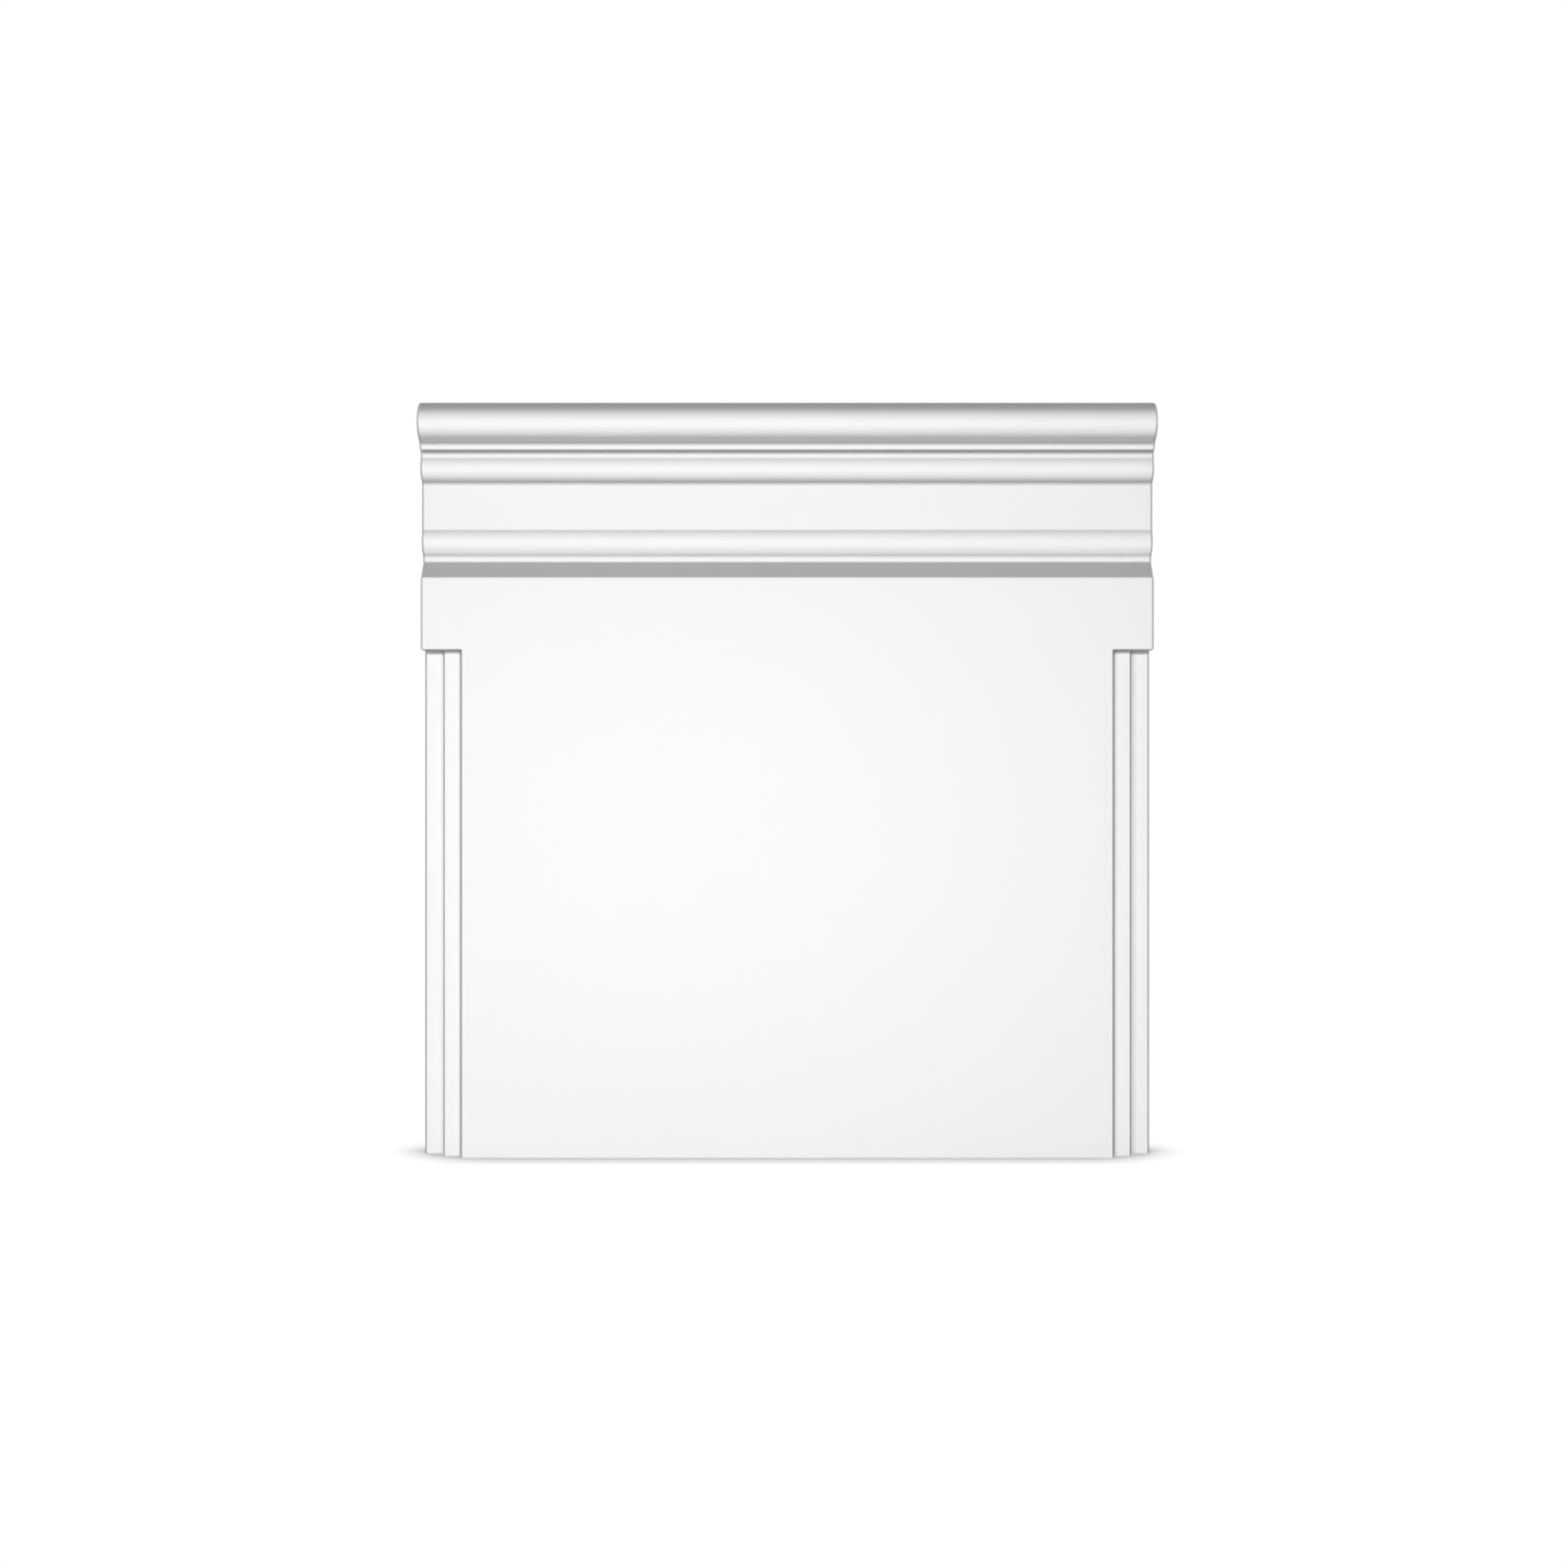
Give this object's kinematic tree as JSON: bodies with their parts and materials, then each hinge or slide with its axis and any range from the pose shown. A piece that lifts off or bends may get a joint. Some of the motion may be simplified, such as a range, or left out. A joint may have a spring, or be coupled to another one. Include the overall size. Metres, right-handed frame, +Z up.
{
  "type": "pilaster base",
  "caption": "One-piece moulded base for a flat pilaster: a plinth with stepped sides under a band, a sloped weathering, an astragal, a plain neck, a bead and a torus, with a flat back.",
  "frame": {"origin": "on the flat back, at the middle of its lower edge, where the wall meets the floor", "axes": "+Z up along the height, +Y into the wall so that the moulded front looks along -Y, +X to the right as seen from the front"},
  "size_m": [0.4444, 0.0508, 0.4572],
  "materials": {
    "primed_white": "factory-primed white, smooth and low sheen"
  },
  "bodies": {
    "root": {"pilaster_base": "primed_white"}
  },
  "joints": []
}
